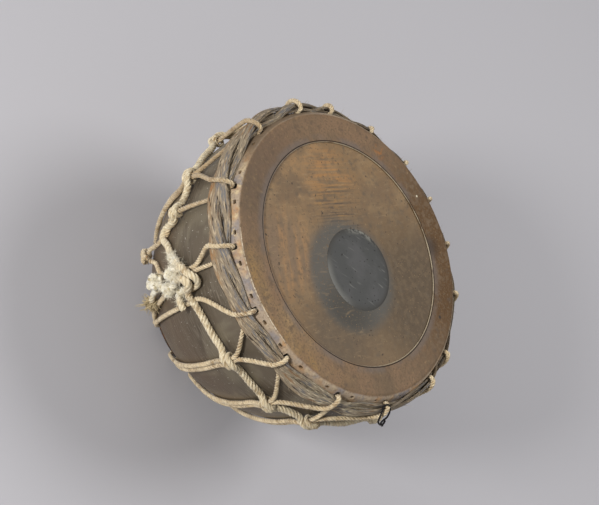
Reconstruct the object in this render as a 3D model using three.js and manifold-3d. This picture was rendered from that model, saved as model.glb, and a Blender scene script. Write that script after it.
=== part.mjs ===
// A bayan, the deep left-hand kettle drum of a tabla pair: a metal kettle, a laced skin head with
// an off-centre tuning paste, a twisted leather hoop, a rope lacing and a tied waist rope.
// The origin is the middle of the flat foot, +Z runs up the drum's axis and out of the head.
// Lengths are millimetres, angles are degrees, azimuths run from +X towards +Y.

import * as THREE from 'three';
import { mergeVertices } from 'three/addons/utils/BufferGeometryUtils.js';
import Module from 'manifold-3d';

// Clearances
const gap = 0.3;
const strandGap = 0.7;
const bendRoom = 0.4;

// Kettle, a turned body whose wall is followed by the angle of its outward normal
const bellyRadius = 130;
const lowerHalf = 153.8;
const upperHalf = 113.9;
const bottomArc = 80;
const bottomSlope = 42;
const footHeight = 3.6;
const footTopRadius = 42;
const footRadius = 40;
const rimSlope = 22.5;
const rimRound = 3;
const wall = 1.5;
const lipWidth = 6;
const lipDepth = 4;

// Head: three skins, one over the other, and the paste on the middle one
const liningThickness = 0.6;
const liningWidth = 18;
const playingThickness = 0.9;
const ringThickness = 1;
const ringWidth = 22.3;
const skirtDrop = 8.6;
const pasteRadius = 35.7;
const pasteOffset = 15.2;
const pasteHeight = 1.3;

// Hoop of three leather thongs, twisted and pressed flat
const hoopDrop = 13.6;
const hoopThickness = 6;
const hoopHeight = 17.4;
const thongCount = 3;
const thongFill = 0.4;
const thongPitch = 0.56;
const thongLay = 1.5;

// Lace, waist rope and base ring
const laceRadius = 2;
const lacePinched = 1.4;
const waistRadius = 3.1;
const waistPinched = 1.6;
const baseRingWire = 2;
const baseRingSlope = 59;
const slitWidth = 5;
const slitTopDrop = 2.2;
const thongSlitWidth = 4;
const thongSlitHeight = 3;

// Loops of the lace over the hoop: the azimuth of each slit, laid by hand
const loopAzimuths = [-14, -38.5, -65, -85.5, -109.4, -133.2, -162, -187, -204.5, -226, -246.2, -263.4,
  -282.2, -302.6, -330, -345];
const loopLean = 7;
const loopReturn = 3.5;

// Hitches of the waist rope: where it gathers two strands of the lace, azimuth and height
const hitchPlaces = [[0.5, 133], [-33.8, 135.6], [-51.8, 131.5], [-73.2, 136], [-97.6, 125], [-129.5, 119],
  [-144.4, 125.6], [-175, 131], [-196.2, 133], [-216.4, 131], [-236.6, 134], [-254.6, 132],
  [-273, 134], [-292.5, 131], [-317, 134], [-337.6, 132]];
const plainHitch = 4;
const brokenHitch = 5;
const hitchReach = 8;
const stemFoot = 24;
const stemLift = 0.3;

// Where the rope's end and the lace's end are tied, between the plain and the broken hitch
const tiedPlace = [-107.3, 132.5];
const ropeKnot = { azimuth: -106.8, height: 114, offset: 11.6, size: 3.8, radius: 2.4, turn: -15 };
const endKnot = { azimuth: -109.5, height: 84, offset: 9.1, size: 2.8, radius: 1.7, turn: 5 };
const laceKnot = { azimuth: -125, height: 56, offset: 7.2, size: 2.85, radius: 1.75, turn: 85 };

const degrees = Math.PI / 180;
const vector = (x, y, z) => new THREE.Vector3(x, y, z);

// Kettle outline: radius and height where the outward normal has a given slope, grown by offset
const ellipsePoint = (half, slope) => {
  const cos = Math.cos(slope * degrees);
  const sin = Math.sin(slope * degrees);
  const length = Math.hypot(bellyRadius * cos, half * sin);
  return [bellyRadius ** 2 * cos / length, half ** 2 * sin / length];
};
const joinPoint = ellipsePoint(lowerHalf, -bottomSlope);
const arcRadius = joinPoint[0] - bottomArc * Math.cos(bottomSlope * degrees);
const footSlope = Math.acos((footTopRadius - arcRadius) / bottomArc) / degrees;
const arcHeight = footHeight + bottomArc * Math.sin(footSlope * degrees);
const bellyHeight = arcHeight - bottomArc * Math.sin(bottomSlope * degrees) - joinPoint[1];
const rimJoin = ellipsePoint(upperHalf, rimSlope);
const roundCentre = [
  rimJoin[0] - rimRound * Math.cos(rimSlope * degrees),
  bellyHeight + rimJoin[1] - rimRound * Math.sin(rimSlope * degrees),
];
const rimHeight = roundCentre[1] + rimRound;

function outline(slope, offset) {
  const cos = Math.cos(slope * degrees);
  const sin = Math.sin(slope * degrees);
  if (slope > rimSlope) {
    return [roundCentre[0] + (rimRound + offset) * cos, roundCentre[1] + (rimRound + offset) * sin];
  }
  if (slope < -bottomSlope) {
    return [arcRadius + (bottomArc + offset) * cos, arcHeight + (bottomArc + offset) * sin];
  }
  const [radius, height] = ellipsePoint(slope > 0 ? upperHalf : lowerHalf, slope);
  return [radius + offset * cos, bellyHeight + height + offset * sin];
}

// Slope of the outward normal at a height on the kettle's outside
function slopeAt(height) {
  if (height > bellyHeight + rimJoin[1]) {
    return Math.asin(Math.min(1, (height - roundCentre[1]) / rimRound)) / degrees;
  }
  if (height < bellyHeight + joinPoint[1]) {
    return Math.asin((height - arcHeight) / bottomArc) / degrees;
  }
  const half = height > bellyHeight ? upperHalf : lowerHalf;
  const turn = Math.asin((height - bellyHeight) / half);
  return Math.atan(bellyRadius / half * Math.tan(turn)) / degrees;
}

const turned = (azimuth, radius, height) => {
  return vector(radius * Math.cos(azimuth * degrees), radius * Math.sin(azimuth * degrees), height);
};
const onKettle = (azimuth, height, offset) => turned(azimuth, ...outline(slopeAt(height), offset));
const mix = (a, b, share) => a + (b - a) * share;

// A closed body from rings of points, each ring of the same count, with a cap at each end
function ringBody(rings) {
  const sides = rings[0].length;
  const positions = rings.flat().flatMap((point) => point.toArray());
  const index = [];
  for (let ring = 0; ring + 1 < rings.length; ring += 1) {
    for (let side = 0; side < sides; side += 1) {
      const a = ring * sides + side;
      const b = ring * sides + (side + 1) % sides;
      index.push(a, b, b + sides, a, b + sides, a + sides);
    }
  }
  const last = (rings.length - 1) * sides;
  for (let side = 1; side + 1 < sides; side += 1) {
    index.push(0, side + 1, side, last, last + side, last + side + 1);
  }
  const geometry = new THREE.BufferGeometry();
  geometry.setAttribute('position', new THREE.Float32BufferAttribute(positions, 3));
  geometry.setIndex(index);
  geometry.computeVertexNormals();
  return geometry;
}

// Rings of a round cord along points, each with its own radius, turned as little as can be
function cordRings(points, radii, sides) {
  const tangents = points.map((point, i) => {
    const before = points[Math.max(0, i - 1)];
    const after = points[Math.min(points.length - 1, i + 1)];
    return after.clone().sub(before).normalize();
  });
  const across = vector(tangents[0].y, -tangents[0].x, 0.2).cross(tangents[0]).normalize();
  return points.map((point, i) => {
    across.addScaledVector(tangents[i], -across.dot(tangents[i])).normalize();
    const beside = tangents[i].clone().cross(across);
    return Array.from({ length: sides }, (_, side) => {
      const turn = 2 * Math.PI * side / sides;
      return point.clone()
        .addScaledVector(across, radii[i] * Math.cos(turn))
        .addScaledVector(beside, radii[i] * Math.sin(turn));
    });
  });
}

// A smooth cord through knots [point, radius], with a few rings in each span
function cordBody(knots, sides, steps) {
  const curve = new THREE.CatmullRomCurve3(knots.map(([point]) => point), false, 'centripetal');
  const spans = knots.length - 1;
  const points = [];
  const radii = [];
  for (let step = 0; step <= spans * steps; step += 1) {
    const place = step / steps;
    const span = Math.min(spans - 1, Math.floor(place));
    points.push(curve.getPoint(step / (spans * steps)));
    radii.push(mix(knots[span][1], knots[span + 1][1], place - span));
  }
  return { geometry: ringBody(cordRings(points, radii, sides)), points, radii };
}

// Least gap of a cord to itself, between points further apart along it than reach
function leastGap({ points, radii }, reach) {
  const along = [0];
  for (let i = 1; i < points.length; i += 1) {
    along.push(along[i - 1] + points[i].distanceTo(points[i - 1]));
  }
  let least = Infinity;
  let where = points[0];
  for (let i = 0; i < points.length; i += 1) {
    for (let j = i + 1; j < points.length; j += 1) {
      const space = points[i].distanceTo(points[j]) - radii[i] - radii[j];
      if (along[j] - along[i] > reach && space < least) {
        least = space;
        where = points[i];
      }
    }
  }
  return `${least.toFixed(2)} at ${where.toArray().map(Math.round)}`;
}

const turnSegments = 48;
const turnedBody = (profile, segments = turnSegments) => {
  const points = profile.map(([radius, height]) => new THREE.Vector2(radius, height));
  return new THREE.LatheGeometry(points, segments).rotateX(Math.PI / 2);
};
const slopes = (from, to, count) => Array.from({ length: count + 1 }, (_, i) => mix(from, to, i / count));

// Booleans
const wasm = await Module();
wasm.setup();
function solidOf(geometry) {
  const bare = geometry.clone();
  bare.deleteAttribute('normal');
  bare.deleteAttribute('uv');
  const merged = mergeVertices(bare, 1e-4);
  return new wasm.Manifold(new wasm.Mesh({
    numProp: 3,
    vertProperties: new Float32Array(merged.attributes.position.array),
    triVerts: new Uint32Array(merged.index.array),
  }));
}
function geometryOf(solid) {
  const mesh = solid.getMesh();
  const geometry = new THREE.BufferGeometry();
  geometry.setAttribute('position', new THREE.Float32BufferAttribute(mesh.vertProperties, 3));
  geometry.setIndex(new THREE.Uint32BufferAttribute(mesh.triVerts, 1));
  geometry.computeVertexNormals();
  return geometry;
}

const drum = new THREE.Group();
function addPiece(name, geometry, color, roughness, metalness = 0) {
  const mesh = new THREE.Mesh(geometry, new THREE.MeshStandardMaterial({ color, roughness, metalness }));
  mesh.name = name;
  drum.add(mesh);
}

// Kettle: one wall from the foot to the lip that the skins bear on
const lipRadius = roundCentre[0] - lipWidth;
function kettle() {
  const outside = slopes(-footSlope, rimSlope, 11).map((slope) => outline(slope, 0));
  const edge = slopes(rimSlope, 90, 3).slice(1).map((slope) => outline(slope, 0));
  const inside = slopes(rimSlope, -footSlope, 8).map((slope) => outline(slope, -wall));
  const floorRadius = footRadius - wall;
  return turnedBody([
    [0, 0],
    [footRadius - 1, 0],
    [footRadius, 1],
    ...outside,
    ...edge,
    [lipRadius, rimHeight],
    [lipRadius, rimHeight - lipDepth],
    ...inside.slice(1),
    [floorRadius, wall],
    [0, wall],
  ]);
}

// A skin that lies over the rim and hangs down the kettle's side, from a low to a high offset
function skin(low, high, innerRadius, skirtSlope) {
  const upper = slopes(90, rimSlope, 3);
  if (skirtSlope < rimSlope) {
    upper.push(...slopes(rimSlope, skirtSlope, 2).slice(1));
  }
  const lower = [...upper].reverse();
  const flat = (offset) => [innerRadius, rimHeight + offset];
  return turnedBody([
    flat(low),
    ...upper.map((slope) => outline(slope, low)),
    ...lower.map((slope) => outline(slope, high)),
    flat(high),
    ...(innerRadius > 0 ? [flat(low)] : []),
  ]);
}

const liningOffset = gap;
const playingOffset = liningOffset + liningThickness + gap;
const ringOffset = playingOffset + playingThickness + gap;
const headHeight = rimHeight + ringOffset + ringThickness;
const skirtSlope = slopeAt(rimHeight - skirtDrop);

// Azimuth of a place counted in loops, smooth between them
function loopAzimuth(place) {
  const count = loopAzimuths.length;
  const at = (loop) => loopAzimuths[((loop % count) + count) % count] - 360 * Math.floor(loop / count);
  const loop = Math.floor(place);
  const share = place - loop;
  const [a, b, c, d] = [at(loop - 1), at(loop), at(loop + 1), at(loop + 2)];
  const straight = (c - a) / 2;
  const next = (d - b) / 2;
  return b + straight * share
    + (3 * (c - b) - 2 * straight - next) * share ** 2
    + (2 * (b - c) + straight + next) * share ** 3;
}

// Slits in the skirts: an open one at each loop of the lace, a short one between for the thongs
function slitCutter(azimuth, width, height) {
  const box = new THREE.BoxGeometry(4 * rimRound, width, height);
  box.translate(roundCentre[0] + rimRound, 0, rimHeight - slitTopDrop - height / 2);
  return solidOf(box.rotateZ(azimuth * degrees));
}
function slitted(geometry, withThongSlits) {
  let solid = solidOf(geometry);
  for (let loop = 0; loop < loopAzimuths.length; loop += 1) {
    solid = solid.subtract(slitCutter(loopAzimuth(loop) + 0.3, slitWidth, skirtDrop + slitTopDrop));
    if (withThongSlits) {
      solid = solid.subtract(slitCutter(loopAzimuth(loop + 0.5), thongSlitWidth, thongSlitHeight));
    }
  }
  return geometryOf(solid);
}

// Tuning paste: a low crowned cake, off the middle of the head
function paste() {
  const bottom = rimHeight + playingOffset + playingThickness + gap;
  const crown = (share) => [pasteRadius * share, bottom + pasteHeight * (1 - 0.55 * share ** 2)];
  const cake = turnedBody([
    [0, bottom],
    [pasteRadius, bottom],
    crown(1),
    crown(0.85),
    crown(0.6),
    crown(0.3),
    [0, bottom + pasteHeight],
  ], 32);
  return cake.translate(pasteOffset, 0, 0);
}

// Hoop: its middle line lies on the kettle's outline, with room for the lace behind it
const hoopLine = rimHeight - hoopDrop;
const hoopSlope = slopeAt(hoopLine);
const hoopOffset = gap + 2 * lacePinched + gap + hoopThickness / 2;
const hoopCentre = outline(hoopSlope, hoopOffset);
const hoopOut = [Math.cos(hoopSlope * degrees), Math.sin(hoopSlope * degrees)];
const hoopUp = [-hoopOut[1], hoopOut[0]];
const hoopPoint = (azimuth, out, up) => turned(
  azimuth,
  hoopCentre[0] + hoopOut[0] * out + hoopUp[0] * up,
  hoopCentre[1] + hoopOut[1] * out + hoopUp[1] * up,
);

const thongSteps = 5;
const thongSides = 5;
function thong(index) {
  const envelope = thongPitch + thongFill;
  const halfOut = hoopThickness / 2 / envelope;
  const halfUp = hoopHeight / 2 / envelope;
  const count = loopAzimuths.length * thongSteps;
  const seam = 12;
  const rings = [];
  for (let step = 0; step <= count; step += 1) {
    const place = seam + 0.04 + (loopAzimuths.length - 0.08) * step / count;
    const turn = -2 * Math.PI * (place / thongLay + index / thongCount);
    const azimuth = loopAzimuth(place);
    rings.push(Array.from({ length: thongSides }, (_, side) => {
      const around = 2 * Math.PI * side / thongSides;
      const out = thongPitch * Math.cos(turn) + thongFill * Math.cos(around);
      const up = thongPitch * Math.sin(turn) + thongFill * Math.sin(around);
      return hoopPoint(azimuth, out * halfOut, up * halfUp);
    }));
  }
  return ringBody(rings);
}

// Lace: at each loop it climbs over the hoop, dips through the slit and comes down behind it
const laceRest = gap + laceRadius;
const laceLifted = gap + 2 * waistPinched + gap + laceRadius;
const pairHalf = laceRadius + strandGap / 2;
const arcDegrees = (length, azimuth, height, offset) => {
  return length / (outline(slopeAt(height), offset)[0] * degrees);
};

function loopOver(loop) {
  const slit = loopAzimuth(loop);
  const around = [
    [-50, -0.75, laceRadius],
    [-12, -0.4, laceRadius],
    [28, -0.15, laceRadius],
    [62, 0, laceRadius],
    [96, 0.02, 1.75],
    [135, 0.1, lacePinched],
    [180, 0.45, lacePinched],
    [222, 0.85, 1.65],
  ];
  return around.map(([turn, lean, radius]) => {
    const azimuth = slit + (lean < 0.05 ? lean * loopLean : lean * loopReturn);
    const out = (hoopThickness / 2 + gap + radius) * Math.cos(turn * degrees);
    const up = (hoopHeight / 2 + gap + radius) * Math.sin(turn * degrees);
    return [hoopPoint(azimuth, out, up), radius];
  });
}

function stemPoints(hitch, side) {
  const [azimuth, height] = hitchPlaces[hitch];
  const lifted = hitch === plainHitch ? laceRest : laceLifted;
  const place = (z, offset) => {
    return [onKettle(azimuth + side * arcDegrees(pairHalf, azimuth, z, offset), z, offset), laceRadius];
  };
  return [
    place(height + hitchReach, lifted),
    place(height - hitchReach, lifted),
    ...slopes(height - 2.5 * hitchReach, stemFoot, 5).map((z) => place(z, laceRest + stemLift)),
  ];
}

// The lace turns round the wire ring: down outside it, under it and up behind it
const ringCentreOffset = 2 * gap + bendRoom + 2 * laceRadius + baseRingWire;
const ringPlace = (azimuth, out, up) => {
  const [radius, height] = outline(-baseRingSlope, ringCentreOffset + out);
  const sin = Math.sin(baseRingSlope * degrees);
  const cos = Math.cos(baseRingSlope * degrees);
  return turned(azimuth, radius + up * sin, height + up * cos);
};
function ringTurn(hitch) {
  const [azimuth] = hitchPlaces[hitch];
  const reach = baseRingWire + gap + bendRoom + laceRadius;
  const half = arcDegrees(pairHalf, azimuth, 12, ringCentreOffset);
  const around = [[25, -1], [-35, -0.8], [-90, 0], [-145, 0.8], [-205, 1]];
  return around.map(([turn, lean]) => {
    const out = reach * Math.cos(turn * degrees);
    const up = reach * Math.sin(turn * degrees);
    return [ringPlace(azimuth + lean * half, out, up), laceRadius];
  });
}

// Points of a cord given one by one: azimuth, height, offset and radius
const cordPoints = (rows) => rows.map(([azimuth, height, offset, radius]) => {
  return [onKettle(azimuth, height, offset), radius];
});

// An overhand knot as an open trefoil lying on the drum, its two ends leaving on one side
function overhandKnot({ azimuth, height, offset, size, radius, turn }) {
  const centre = onKettle(azimuth, height, offset);
  const slope = slopeAt(height);
  const out = turned(azimuth, Math.cos(slope * degrees), Math.sin(slope * degrees));
  const along = turned(azimuth + 90, 1, 0);
  const up = out.clone().cross(along);
  const cos = Math.cos(turn * degrees);
  const sin = Math.sin(turn * degrees);
  return slopes(0.5, 2 * Math.PI - 0.5, 20).map((bend) => {
    const far = size * (Math.cos(bend) + 2 * Math.cos(2 * bend));
    const aside = size * (2 * Math.sin(2 * bend) - Math.sin(bend));
    const point = centre.clone()
      .addScaledVector(along, far * cos - aside * sin)
      .addScaledVector(up, far * sin + aside * cos)
      .addScaledVector(out, 1.04 * size * Math.sin(3 * bend));
    return [point, radius];
  });
}

function laceKnots() {
  const count = loopAzimuths.length;
  const [tiedAzimuth, tiedHeight] = tiedPlace;
  const beside = (side, z) => tiedAzimuth + side * arcDegrees(pairHalf, tiedAzimuth, z, laceLifted);
  const tiedStrand = (side) => cordPoints([
    [beside(side, tiedHeight), tiedHeight - 10, laceRest, laceRadius],
    [beside(side, tiedHeight), tiedHeight + 6, laceRest, laceRadius],
  ]);
  const [plainAzimuth] = hitchPlaces[plainHitch];
  const plainFoot = plainAzimuth - arcDegrees(pairHalf, plainAzimuth, stemFoot, laceRest);
  const drifting = [0.2, 0.4, 0.6, 0.8, 1].map((share) => [
    mix(beside(1, tiedHeight), plainFoot, share),
    mix(tiedHeight - 10, stemFoot, share),
    laceRest + stemLift,
    laceRadius,
  ]);
  const knots = [
    ...cordPoints([
      [-121, 66, laceRest + 2.5, laceRadius],
      [-118.5, 74, laceRest, laceRadius],
      [-113.5, 82, laceRest, laceRadius],
      [-109.8, 95, laceRest, laceRadius],
      [-108.6, 109, laceRest, laceRadius],
    ]),
    ...tiedStrand(-1),
  ];
  for (let step = 0; step < count; step += 1) {
    const hitch = (brokenHitch - 1 - step + 2 * count) % count;
    knots.push(...loopOver(hitch));
    if (hitch === plainHitch) {
      knots.push(...tiedStrand(1).reverse(), ...cordPoints(drifting));
    } else {
      knots.push(...stemPoints(hitch, -1).slice(0, hitch === brokenHitch ? 2 : 7));
    }
    if (hitch !== brokenHitch) {
      knots.push(...ringTurn(hitch), ...stemPoints(hitch, 1).reverse());
    }
  }
  return [
    ...knots,
    ...cordPoints([
      [-126.4, 99, laceRest, laceRadius],
      [-125.6, 87, laceRest, laceRadius],
      [-125.4, 75, laceRest + 1.5, laceRadius],
      [-125.6, 67, laceRest + 3.5, 1.85],
    ]),
    ...overhandKnot(laceKnot).reverse(),
    ...cordPoints([[-122.6, 67, 10, 1.6], [-121.4, 72, 9.4, 1.3]]),
  ];
}

// Waist rope: it lies on the belly and takes one round turn about each pair of strands
const restOffset = gap + waistRadius;
function hitchTurn(hitch) {
  const [azimuth, height] = hitchPlaces[hitch];
  const alone = hitch === brokenHitch;
  const half = alone ? 0 : pairHalf;
  const middle = azimuth - (alone ? arcDegrees(pairHalf, azimuth, height, laceLifted) : 0);
  const lift = waistRadius + strandGap / 2;
  const place = (across, offset, up, radius) => {
    return [onKettle(middle + arcDegrees(across, azimuth, height, offset), height + up, offset), radius];
  };
  const about = (turn, up, radius) => {
    const reach = laceRadius + gap + bendRoom + radius;
    const cos = Math.cos(turn * degrees);
    const across = Math.sign(cos) * half + reach * cos;
    return place(across, laceLifted + reach * Math.sin(turn * degrees), up, radius);
  };
  const over = laceLifted + laceRadius + gap + bendRoom + waistRadius;
  const away = half + laceRadius + 2 * waistRadius;
  return [
    place(-away, restOffset + 1.8, lift + 0.4, waistRadius),
    about(128, lift, waistRadius),
    place(0, over, lift, waistRadius),
    about(52, lift, waistRadius),
    about(8, lift * 0.75, 2.6),
    about(-38, lift * 0.4, 1.9),
    place(half + 1, gap + waistPinched, lift * 0.15, waistPinched),
    place(-half - 1, gap + waistPinched, -lift * 0.15, waistPinched),
    about(218, -lift * 0.4, 1.9),
    about(172, -lift * 0.75, 2.6),
    about(128, -lift, waistRadius),
    place(0, over, -lift, waistRadius),
    about(52, -lift, waistRadius),
    place(away, restOffset + 1.8, -lift - 0.4, waistRadius),
  ];
}
function waistKnots() {
  const count = hitchPlaces.length;
  const knots = [
    ...cordPoints([
      [-101.5, 50, 7.6, 2.4],
      [-102, 57, 8.5, 3.4],
      [-103, 66, 8.6, 2.6],
      [-104.6, 73, 8.6, 2],
    ]),
    ...overhandKnot(endKnot).reverse(),
    ...cordPoints([[-107, 95, 9, 2.1], [-106.2, 101, 9, 2.3]]),
    ...overhandKnot(ropeKnot).reverse(),
    ...cordPoints([
      [-101.7, 119, 11.5, 2.9],
      [-101.3, 123.5, 11, waistRadius],
      [-99.6, 126.4, 10.3, waistRadius],
      [-96.6, 126, 8.6, waistRadius],
      [-93.8, 125.6, 6, waistRadius],
      [-91.6, 125.9, restOffset, waistRadius],
      [-87.4, 130, restOffset, waistRadius],
      [-81, 134.5, restOffset, waistRadius],
    ]),
  ];
  for (let step = 1; step < count; step += 1) {
    const hitch = (brokenHitch - 1 - step + count) % count;
    const before = hitchPlaces[(hitch + 1) % count];
    const here = hitchPlaces[hitch];
    if (step > 1) {
      const wrap = before[0] > here[0] ? 360 : 0;
      const middle = onKettle(mix(before[0] - wrap, here[0], 0.5), mix(before[1], here[1], 0.5), restOffset);
      knots.push([middle, waistRadius]);
    }
    knots.push(...hitchTurn(hitch));
  }
  return [
    ...knots,
    ...cordPoints([
      [-123, 106, restOffset, waistRadius],
      [-118, 107, restOffset, waistRadius],
      [-114.2, 111.5, restOffset, waistRadius],
      [-113.2, 119, 4.6, waistRadius],
      [-111.4, 126, 8.2, waistRadius],
      [-108.6, 131, 11.2, waistRadius],
      [-105.8, 135.2, 11, waistRadius],
      [-103.4, 137.4, 7.4, waistRadius],
      [-101.9, 134, 3.8, 2.9],
      [-100.8, 127, restOffset, 2.9],
      [-100.4, 119, restOffset, 2.9],
      [-99, 113.5, 5.2, 2.9],
      [-96.6, 111.3, 8.2, 2.9],
      [-94.8, 111, 8.6, 2.6],
    ]),
  ];
}

const liningInner = roundCentre[0] - liningWidth;
const ringInner = roundCentre[0] - ringWidth;
const lining = skin(liningOffset, liningOffset + liningThickness, liningInner, 45);
const playing = skin(playingOffset, playingOffset + playingThickness, 0, skirtSlope);
const ring = skin(ringOffset, ringOffset + ringThickness, ringInner, skirtSlope);
addPiece('kettle', kettle(), 0x5c5346, 0.55, 0.6);
addPiece('lining_skin', lining, 0x8a7456, 0.8);
addPiece('playing_skin', slitted(playing, false), 0x84694a, 0.6);
addPiece('ring_skin', slitted(ring, true), 0x6f5b45, 0.65);
addPiece('tuning_paste', paste(), 0x4b4b47, 0.7);
for (let index = 0; index < thongCount; index += 1) {
  addPiece(`hoop_thong_${index + 1}`, thong(index), 0x81715c, 0.85);
}

const lace = cordBody(laceKnots(), 5, 1);
addPiece('lace', lace.geometry, 0xb79f72, 0.9);
const waist = cordBody(waistKnots(), 5, 1);
addPiece('waist_rope', waist.geometry, 0xcdbe96, 0.9);

const ringRadius = ringPlace(0, 0, 0);
const wireProfile = slopes(0, 360, 5).map((turn) => [
  ringRadius.x + baseRingWire * Math.cos(turn * degrees),
  ringRadius.z + baseRingWire * Math.sin(turn * degrees),
]);
addPiece('base_ring', turnedBody(wireProfile), 0x4a4038, 0.6, 0.7);

console.log('head height', headHeight.toFixed(2), 'belly height', bellyHeight.toFixed(2));
console.log('least gap of the lace to itself', leastGap(lace, 14));
console.log('least gap of the waist rope to itself', leastGap(waist, 20));

export default drum;
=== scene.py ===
# A bayan, the deep left-hand drum of a tabla pair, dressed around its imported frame.
# It stands upright on its foot with the head up, and +Z is the drum's axis. The camera is rolled,
# so that the drum is seen as it is photographed, lying half on its side.
# Sizes are in millimetres and angles in degrees. Azimuths run from +X towards +Y.

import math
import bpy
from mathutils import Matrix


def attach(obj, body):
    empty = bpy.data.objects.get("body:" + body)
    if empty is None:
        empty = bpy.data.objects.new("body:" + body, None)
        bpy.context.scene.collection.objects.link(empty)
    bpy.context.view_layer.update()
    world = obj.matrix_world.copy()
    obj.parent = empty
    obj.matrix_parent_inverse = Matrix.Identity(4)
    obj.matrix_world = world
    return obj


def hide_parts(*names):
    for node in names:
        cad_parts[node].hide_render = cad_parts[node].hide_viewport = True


bl_info = {
    "name": "Bayan drum",
    "version": (1, 0, 0),
    "blender": (4, 5, 0),
    "location": "3D View > Sidebar > Drum",
    "description": "Builds a laced kettle drum around its packed frame",
    "category": "Add Mesh",
}

import bpy
import numpy as np
from mathutils import Matrix, Vector, noise

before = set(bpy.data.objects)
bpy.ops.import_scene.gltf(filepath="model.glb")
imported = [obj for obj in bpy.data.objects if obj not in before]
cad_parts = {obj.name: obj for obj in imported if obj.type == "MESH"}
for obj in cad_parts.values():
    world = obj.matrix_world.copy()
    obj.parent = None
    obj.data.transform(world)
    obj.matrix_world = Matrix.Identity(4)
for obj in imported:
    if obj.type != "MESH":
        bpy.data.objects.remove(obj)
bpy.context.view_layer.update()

MM = 0.001

# Clearances
GAP = 0.3
BEND_ROOM = 0.4

# Kettle
BELLY_RADIUS = 130
LOWER_HALF = 153.8
UPPER_HALF = 113.9
BOTTOM_ARC = 80
BOTTOM_SLOPE = 42
FOOT_HEIGHT = 3.6
FOOT_TOP_RADIUS = 42
FOOT_RADIUS = 40
RIM_SLOPE = 22.5
RIM_ROUND = 3
WALL = 1.5
LIP_WIDTH = 6
LIP_DEPTH = 4

# Head
LINING_THICKNESS = 0.6
LINING_WIDTH = 18
PLAYING_THICKNESS = 0.9
RING_THICKNESS = 1
RING_WIDTH = 22.3
SKIRT_DROP = 8.6
PASTE_RADIUS = 35.7
PASTE_OFFSET = 15.2
PASTE_HEIGHT = 1.7
PASTE_GAP = 0.05
LINING_SLOPE = 45
WAVE_LENGTH = 45

# Heights of the stains on the head and on its shoulder
HEAD_TOP = 185
SHOULDER_TOP = 183

# Seam pressed beside the ring hide's inner edge: how far out from the edge, how far up from the top
RING_SEAM = [(1.8, 0), (1.45, -0.4), (1.1, -0.4), (0.8, 0), (0.4, 0.05)]

# Slits in the skirts at each loop of the lace, a long one for it and two short ones for the thongs:
# how far on, in loops and then in degrees, and the width, the height and the height of the top
SLITS = [(0, 0, 5, 9, 181.8), (0.235, 0.3, 4.2, 2.4, 182.6), (0.735, 0, 4.2, 2.4, 182.6)]
SLIT_DEPTH = 14
SLIT_ROUND = 1.1

# Hoop, whose edges are pulled up more or less by the lace: azimuth and height of each edge. A thong's
# fill and pitch are its half size and its way from the middle, as shares of the hoop's half sizes.
HOOP_CROWN = [(-205, 180.6), (-192, 182.2), (-160, 182.2), (-148, 180.6)]
HOOP_THICKNESS = 6
HOOP_EDGE = [(-150, 163), (-139, 161.5), (-120, 160.5), (-108, 160.5), (-95, 162.5), (-85, 164.5),
             (-75, 166.5), (-65, 167), (-58, 165), (-50, 162.5), (-42, 164.5), (-35, 165.5),
             (-28, 163.5), (-20, 166.5), (-10, 168), (5, 167), (30, 165), (90, 163), (150, 163)]
THONG_COUNT = 3
THONG_FILL = (0.38, 0.53)
THONG_PITCH = (0.6, 0.47)
THONG_LAY = 3
THONG_SHIFT = 0.21

# Each thong starts and ends on the far side, at a place counted in loops of the lace
THONG_SEAM = 12
THONG_CLEAR = 0.04
THONG_SIDES = 40
THONG_STEPS = 36

# Cords
LACE_RADIUS = 2
LACE_PINCHED = 1.4
LACE_TURNED = 1.5
LACE_SWELL = 1.08
WAIST_RADIUS = 3.1
WAIST_PINCHED = 1.6
WIRE_RADIUS = 1.6
WIRE_SLOPE = 63
LOOP_AZIMUTHS = [-14, -38.5, -65, -85.5, -109.4, -133.2, -162, -187, -204.5, -226, -246.2, -263.4,
                 -282.2, -302.6, -330, -345]
LOOP_LEAN = 3
LOOP_RETURN = 3.5

# Hitches of the waist rope, azimuth and height: straight stretch of the lace above and below each,
# the height where its strands end, and how far a round turn spreads and stands over the lace
HITCH_PLACES = [(0.5, 133), (-33.8, 135.6), (-51.8, 131.5), (-73.2, 136), (-97.6, 125), (-129.5, 119),
                (-144.4, 125.6), (-172, 113), (-196.2, 133), (-216.4, 131), (-236.6, 134),
                (-254.6, 132), (-273, 134), (-292.5, 131), (-317, 134), (-337.6, 132)]
PLAIN_HITCH = 4
BROKEN_HITCH = 5
HITCH_REACH = 8
STEM_FOOT = 24
STEM_LIFT = 0.3
TURN_SPREAD = 2.3
TURN_CROWN = 2.3
TIED_PLACE = (-107.3, 132.5)

# Knots: azimuth, height, offset from the kettle, size, radius of the cord and turn
ROPE_KNOT = (-106.8, 121, 11.4, 2.3, 2.8, -15)
LOW_KNOT = (-103.2, 107.5, 10, 1.7, 2.3, -40)
END_KNOT = (-108.6, 86, 9.6, 2.2, 2.75, 5)
LACE_KNOT = (-126.5, 53, 6.6, 1.9, 1.9, 85)

# Where the rope's knots are white and fluffy, and where the lace is dirtiest
WHITE_PLACE = (-41, -130.5, 109)
GRIMY_PLACE = (-115, -62, 150)

# Camera, turned as the photograph is, and its lens in millimetres
CAMERA_PLACE = (-0.0174, -1.0394, 1.0981)
CAMERA_RIGHT = (0.399, 0.6249, 0.671)
CAMERA_UP = (-0.9169, 0.2719, 0.292)
CAMERA_BACK = (0, -0.7318, 0.6815)
CAMERA_LENS = 100
SENSOR_WIDTH = 36

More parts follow.
